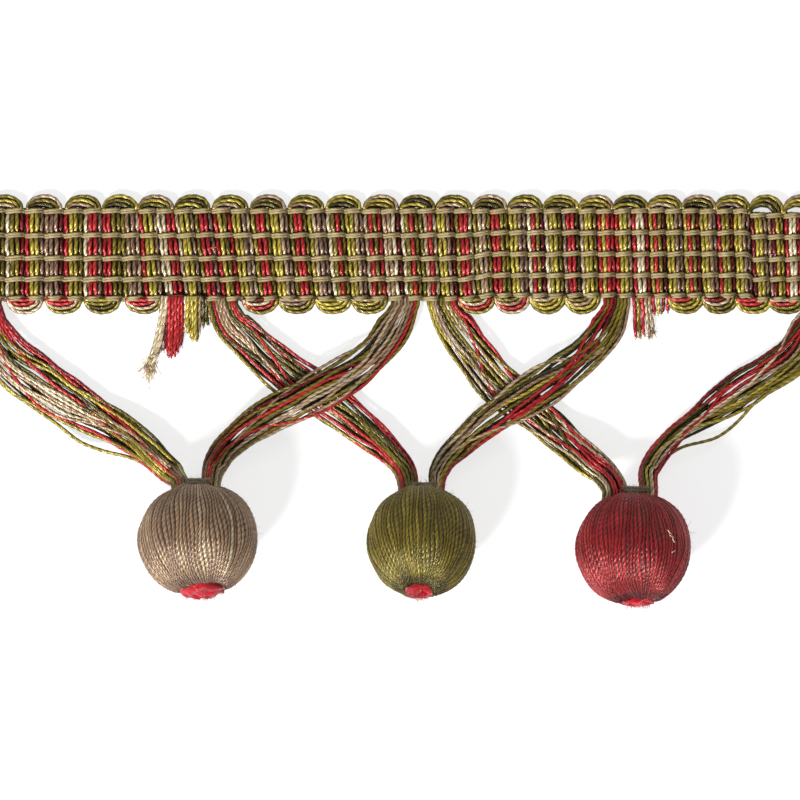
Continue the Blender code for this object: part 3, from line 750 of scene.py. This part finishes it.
def stadium(radius, steps):
    """An oval round the two skeins, once round for each turn of the thread."""
    straight = 2 * TIE_SPACING
    length = 2 * straight + 2 * np.pi * radius
    distance = np.linspace(0, TIE_TURNS * length, steps)
    place = distance % length
    angle = np.select(
        [place < straight, place < straight + np.pi * radius, place < 2 * straight + np.pi * radius],
        [np.pi / 2, np.pi / 2 + (place - straight) / radius, 3 * np.pi / 2 + 0 * place],
        3 * np.pi / 2 + (place - 2 * straight - np.pi * radius) / radius,
    )
    centre = np.select(
        [place < straight, place < straight + np.pi * radius, place < 2 * straight + np.pi * radius],
        [TIE_SPACING - place, -TIE_SPACING + 0 * place, -TIE_SPACING + place - straight - np.pi * radius],
        TIE_SPACING,
    )
    return np.stack([centre + radius * np.cos(angle), radius * np.sin(angle)], axis=1), distance / length


def build_neck(name, ball):
    piece = Piece(name + "_tie", "neck_binding", [name], (BINDING,))
    oval, turns = stadium(TIE_RADIUS, 320)
    height = ball.half - 0.15 + 0.3 * turns + 0.06 * np.sin(9 * turns)
    path = placed(ball, np.column_stack([oval * (1 + 0.03 * np.sin(7 * turns))[:, None], height]))
    axis = ball_placing(ball)[:3, 2]
    piece.tube(path, TIE_THREAD, sides=7, relief=0.2, wall=axis)
    outward = unit(path - path.mean(axis=0))
    fuzz(piece, path, outward, 420, 1.0, 0.03, 0, 0.5)
    piece.finish()


# Skeins

def root_section(pair):
    middle = rib_x(2 * pair + 1) + float(lean_shift(2 * pair + 1, EDGE_BOTTOM))
    width = rib_x(2 * pair + 2) - rib_x(2 * pair) - 2 * GAP
    return Section(middle, EDGE_BOTTOM - GAP, width, ROOT_CLEARANCE, ROOT_BEND)


def neck_section(ball, mouth, above):
    """mouth: how far right of the ball's axis the skein goes in, and how wide it is there."""
    beside, width = mouth
    x, y, z = placed(ball, np.array([[beside, width / 4, ball.half + above]]))[0]
    return Section(x, y, width, z, NECK_BEND)


def smooth_rows(sections, count):
    table = np.array(sections, float)
    steps = np.linalg.norm(np.diff(table[:, :2], axis=0), axis=1)
    along = np.concatenate(([0.0], np.cumsum(steps)))
    slope = np.gradient(table, along, axis=0)
    distance = np.linspace(0, along[-1], count)
    span = np.clip(np.searchsorted(along, distance, side="right") - 1, 0, len(steps) - 1)
    length = steps[span][:, None]
    t = (distance - along[span])[:, None] / length
    start, end = table[span], table[span + 1]
    rise = length * (slope[span] * t * (1 - t) ** 2 - slope[span + 1] * t**2 * (1 - t))
    blend = t**2 * (3 - 2 * t)
    smooth = start * (1 - blend) + end * blend + rise
    smooth[:, 3] = np.maximum(smooth[:, 3], 0.0)
    return smooth, distance


def strand_plan(orders):
    """Each strand's material, and where across, in which layer and in what tone it lies at each stage."""
    plan = []
    for number, name in enumerate(FAMILY_NAMES):
        found = [[(n, letter) for n, letter in enumerate(order) if letter in FAMILIES[name]] for order in orders]
        most = max(len(places) for places in found)
        strands = [[] for _ in range(most)]
        for order, places in zip(orders, found):
            shown = np.round(np.linspace(0, most - 1, len(places))).astype(int).tolist() if places else []
            spots = [-1 + 2 * (n + 0.5) / len(order) for n, _ in places] or [0.0]
            tones = [TONES[letter] for _, letter in places] or [0.4]
            for strand in range(most):
                if strand in shown:
                    at = shown.index(strand)
                    strands[strand].append((spots[at], 0.9, tones[at]))
                else:
                    share = np.interp(strand, shown or [0], range(len(shown)) if shown else [0])
                    spot = np.interp(share, range(len(spots)), spots)
                    strands[strand].append((spot + random.uniform(-0.3, 0.3), -0.7, np.mean(tones)))
        plan += [(number, strand) for strand in strands]
    return plan


def build_skein(name, skein):
    piece = Piece(name + "_yarn", "skein_yarn", [name], YARN_SET)
    ball = BALLS[skein.ball]
    bound = [neck_section(ball, skein.mouth, above) for above in (NECK_START, NECK_END)]
    sections = (root_section(skein.pair), *skein.sections, *bound)
    rows, distance = smooth_rows(sections, 165)
    x, y, width, low, bend = rows.T
    length = distance[-1]
    forward = unit(np.gradient(rows[:, [0, 1, 3]], axis=0))
    down = np.array([0.0, -1.0, 0.0])
    neck_way = -ball_placing(ball)[:3, 2]
    leaving = smoothstep(distance, 0.5, 6.0)[:, None]
    arriving = smoothstep(distance, length - 2.4, length)[:, None]
    forward = unit(down * (1 - leaving) + forward * leaving)
    forward = unit(forward * (1 - arriving) + neck_way * arriving)
    right = unit(np.cross(forward, (0.0, 0.0, 1.0)))
    up = np.cross(right, forward)
    half_angle = np.radians(bend)
    depth = np.minimum(SKEIN_DEPTH, DEPTH_TO_WIDTH * width)
    radius = width / 2 / np.sin(np.minimum(half_angle, np.pi / 2)) - depth / 2
    edge = np.where(half_angle < np.pi / 2, radius - depth / 2, radius + depth / 2)
    lowest = edge * np.cos(half_angle)
    share = distance / length
    stages = np.array([0.06, 0.42, 0.9])
    plan = strand_plan(skein.orders)
    # Dark yarns under the others, which show between them: near-black, painted shade in the gaps between strands
    seen = len(plan)
    plan += [(1, [(spot, -0.5, -0.5)] * 3) for spot in np.linspace(-0.82, 0.82, 7)]
    plan.append((1, [(0.98 * np.sign(skein.loose) or 0.3, 0.0, 0.5)] * 3))
    for number, (material, strand) in enumerate(plan):
        spot, layer, tone = (smooth_stages(share, stages, [s[n] for s in strand]) for n in range(3))
        thin = STRAND_RADIUS * (1 - 0.12 * smoothstep(share, 0.7, 0.95)) * random.uniform(0.88, 1.1)
        free = np.sin(np.pi * np.clip(share, 0, 1)) ** 0.5
        spot = spot * (1 - thin / (width / 2)) + free * sway(distance, 0.36, 26) / width * 2
        reach = radius + layer * (depth / 2 - thin)
        offset = reach * np.sin(spot * half_angle)
        height = reach * np.cos(spot * half_angle) - lowest + free * sway(distance, 0.16, 15)
        if number == len(plan) - 1:
            offset = offset + skein.loose * np.sin(np.pi * smoothstep(share, 0.28, 0.95)) ** 2
        path = np.stack([x, y, low], axis=1) + right * offset[:, None] + up * height[:, None]
        path[:, 2] = np.maximum(path[:, 2], thin * 0.9)
        tucked = np.array([[path[0, 0], path[0, 1] + 1.5, 1.5], [path[0, 0], path[0, 1] + 0.8, (path[0, 2] + 1.7) / 2]])
        path = np.concatenate([tucked, path])
        thin = np.concatenate([thin[:1], thin[:1], thin])
        tone = np.concatenate([tone[:1], tone[:1], tone]) + random.normal(0, 0.07)
        under = seen <= number < len(plan) - 1
        step, sides = (3, 5) if under else (1, 7)
        piece.tube(path[::step], thin[::step], material, tone[::step], sides, phase=random.uniform(0, TWIST))
    piece.finish()


def smooth_stages(share, stages, values):
    """Eases from one stage's value to the next."""
    result = np.full_like(share, float(values[0]))
    for n in range(len(stages) - 1):
        eased = smoothstep(share, stages[n], stages[n + 1])
        result = result + (values[n + 1] - values[n]) * eased
    return result


# Tufts

def build_tuft(name, strands):
    piece = Piece(name + "_yarn", "skein_yarn", [name], YARN_SET)
    for letter, x_top, x_end, y_end, fray, high in strands:
        x0, y0 = picture_to_mm(x_top, 296)
        x1, y1 = picture_to_mm(x_end, y_end)
        steps = max(int((y0 - y1) * 4), 8)
        share = np.linspace(0, 1, steps)
        x = x0 + (x1 - x0) * share**1.7 + sway(share, 0.12, 1.1)
        y = y0 + (y1 - y0) * share
        z = 1.7 + 0.8 * high - 1.15 * smoothstep(share, 0.0, 0.75) + sway(share, 0.1, 1.3)
        tone = TONES[letter] + random.normal(0, 0.08)
        path = np.stack([x, y, z], axis=1)
        size = YARN_RADIUS * (1 - 0.45 * smoothstep(share, 0.86, 1.0))
        piece.tube(path, size, family(letter), tone, phase=random.uniform(0, TWIST))
        way = unit(path[-1:] - path[-4:-3])[0]
        for _ in range(7 if fray < 1 else 26):
            start = path[-2] + random.normal(0, 0.14, 3)
            bend = random.normal(0, 0.32, 3)
            steps = np.linspace(0, 1, 6)[:, None]
            fibre = start + way * fray * random.uniform(0.5, 1.2) * steps + bend * fray * steps**1.8
            fibre[:, 2] = np.maximum(fibre[:, 2], 0.08)
            piece.tube(fibre, 0.07, family(letter), tone + 0.1, sides=4, relief=0.0)
    piece.finish()


# Lint

def build_lint():
    """White flecks caught on the red ball."""
    piece = Piece("lint", "yarn_beige", ["ball_3"], (YARNS["beige"],))
    ball = BALLS["ball_3"]
    centre = ball_placing(ball)[:3, 3]
    for px, py, reach, lean in ((667, 531, 1.1, -0.9), (669, 535, 1.0, -0.6), (671, 539, 0.9, -1.1), (671, 550, 0.7, 0.5)):
        x, y = picture_to_mm(px, py)
        steps = np.linspace(-0.5, 0.5, 7) * reach
        xs, ys = x + steps * math.cos(lean), y + steps * math.sin(lean)
        rise = np.sqrt(np.maximum((ball.equator + 0.1) ** 2 - (xs - centre[0]) ** 2 - (ys - centre[1]) ** 2, 0))
        piece.tube(np.stack([xs, ys, centre[2] + rise], axis=1), 0.13, 0, 1.0, sides=5, relief=0.1)
    piece.finish()


# Surroundings

def build_surroundings():
    material, tree, shader = new_material("pale_surface")
    shader.inputs["Base Color"].default_value = (0.42, 0.42, 0.42, 1.0)
    shader.inputs["Roughness"].default_value = 0.9
    shader.inputs["Specular IOR Level"].default_value = 0.1
    # A lit table keeps the shadows faint
    shader.inputs["Emission Color"].default_value = (1.0, 1.0, 1.0, 1.0)
    shader.inputs["Emission Strength"].default_value = 0.72
    mesh = bpy.data.meshes.new("surface")
    half = 4.0
    mesh.from_pydata([(-half, -half, -2e-5), (half, -half, -2e-5), (half, half, -2e-5), (-half, half, -2e-5)], [], [(0, 1, 2, 3)])
    mesh.materials.append(material)
    surface = bpy.data.objects.new("surface", mesh)
    bpy.context.collection.objects.link(surface)

    world = bpy.data.worlds.new("studio")
    world.use_nodes = True
    world.node_tree.nodes["Background"].inputs["Color"].default_value = (1.0, 1.0, 1.0, 1.0)
    world.node_tree.nodes["Background"].inputs["Strength"].default_value = 0.32
    bpy.context.scene.world = world

    add_light("key", (-0.40, -0.56, 0.60), (0.0, -0.01, 0.0), 0.2, 12.0)
    add_light("rim", (0.25, 0.5, 0.6), (0.0, 0.0, 0.0), 0.3, 0.8)

    camera = bpy.data.cameras.new("camera")
    camera.lens = 500.0
    camera.sensor_width = 36.0
    camera.clip_end = 20.0
    eye = bpy.data.objects.new("camera", camera)
    eye.location = (0.0, 0.0, PICTURE_WIDTH * METRES / camera.sensor_width * camera.lens)
    bpy.context.collection.objects.link(eye)
    bpy.context.scene.camera = eye
    bpy.context.scene.view_settings.view_transform = "Standard"


def add_light(name, place, target, size, power):
    light = bpy.data.lights.new(name, "AREA")
    light.shape = "DISK"
    light.size = size
    light.energy = power
    lamp = bpy.data.objects.new(name, light)
    lamp.location = place
    way = Vector(target) - Vector(place)
    lamp.rotation_euler = way.to_track_quat("-Z", "Y").to_euler()
    bpy.context.collection.objects.link(lamp)


build_heading()
for skein_name, skein_facts in SKEINS.items():
    build_skein(skein_name, skein_facts)
for ball_name, ball_facts in BALLS.items():
    build_ball(ball_name, ball_facts)
    build_plug("plug_" + ball_name[-1], ball_facts)
    build_neck("neck_" + ball_name[-1], ball_facts)
for tuft_name, tuft_strands in TUFTS.items():
    build_tuft(tuft_name, tuft_strands)
build_lint()
build_surroundings()
for cad_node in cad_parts.values():
    cad_node.hide_render = True
